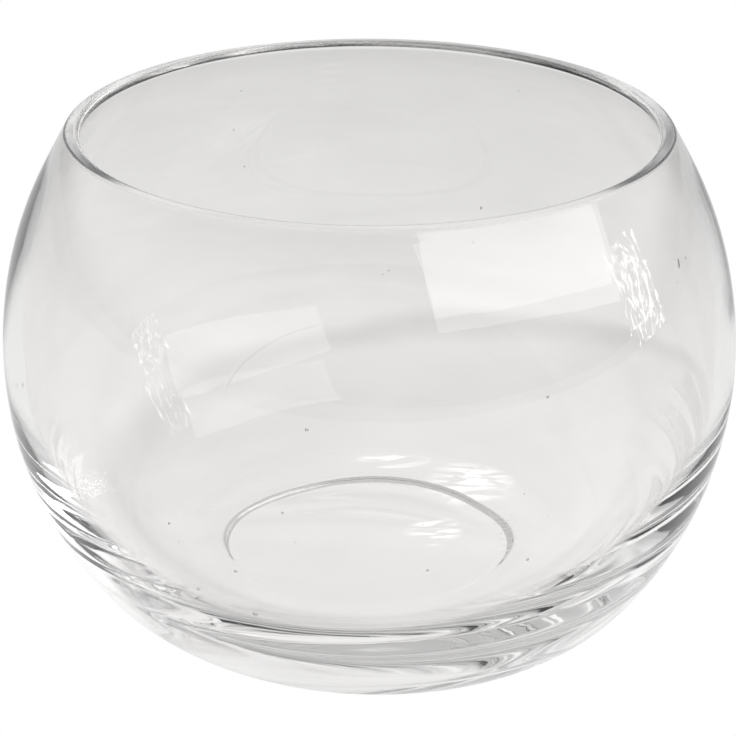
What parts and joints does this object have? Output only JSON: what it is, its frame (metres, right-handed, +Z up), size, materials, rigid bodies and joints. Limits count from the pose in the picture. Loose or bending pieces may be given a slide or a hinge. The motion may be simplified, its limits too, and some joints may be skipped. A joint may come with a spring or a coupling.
{
  "type": "rose bowl vase",
  "caption": "Clear blown-glass rose bowl, a nearly spherical bowl with a wide rounded mouth, a heavy base and a shallow punt, for floating or loosely arranged flowers.",
  "frame": {"origin": "middle of the ring that the bowl stands on, level with the surface under it", "axes": "+Z up along the bowl's axis of symmetry; +X and +Y across the mouth, interchangeable because the bowl is round"},
  "size_m": [0.15, 0.15, 0.1035],
  "materials": {
    "clear_glass": "clear, fire-polished"
  },
  "bodies": {
    "root": {"glass_bowl": "clear_glass"}
  },
  "joints": []
}
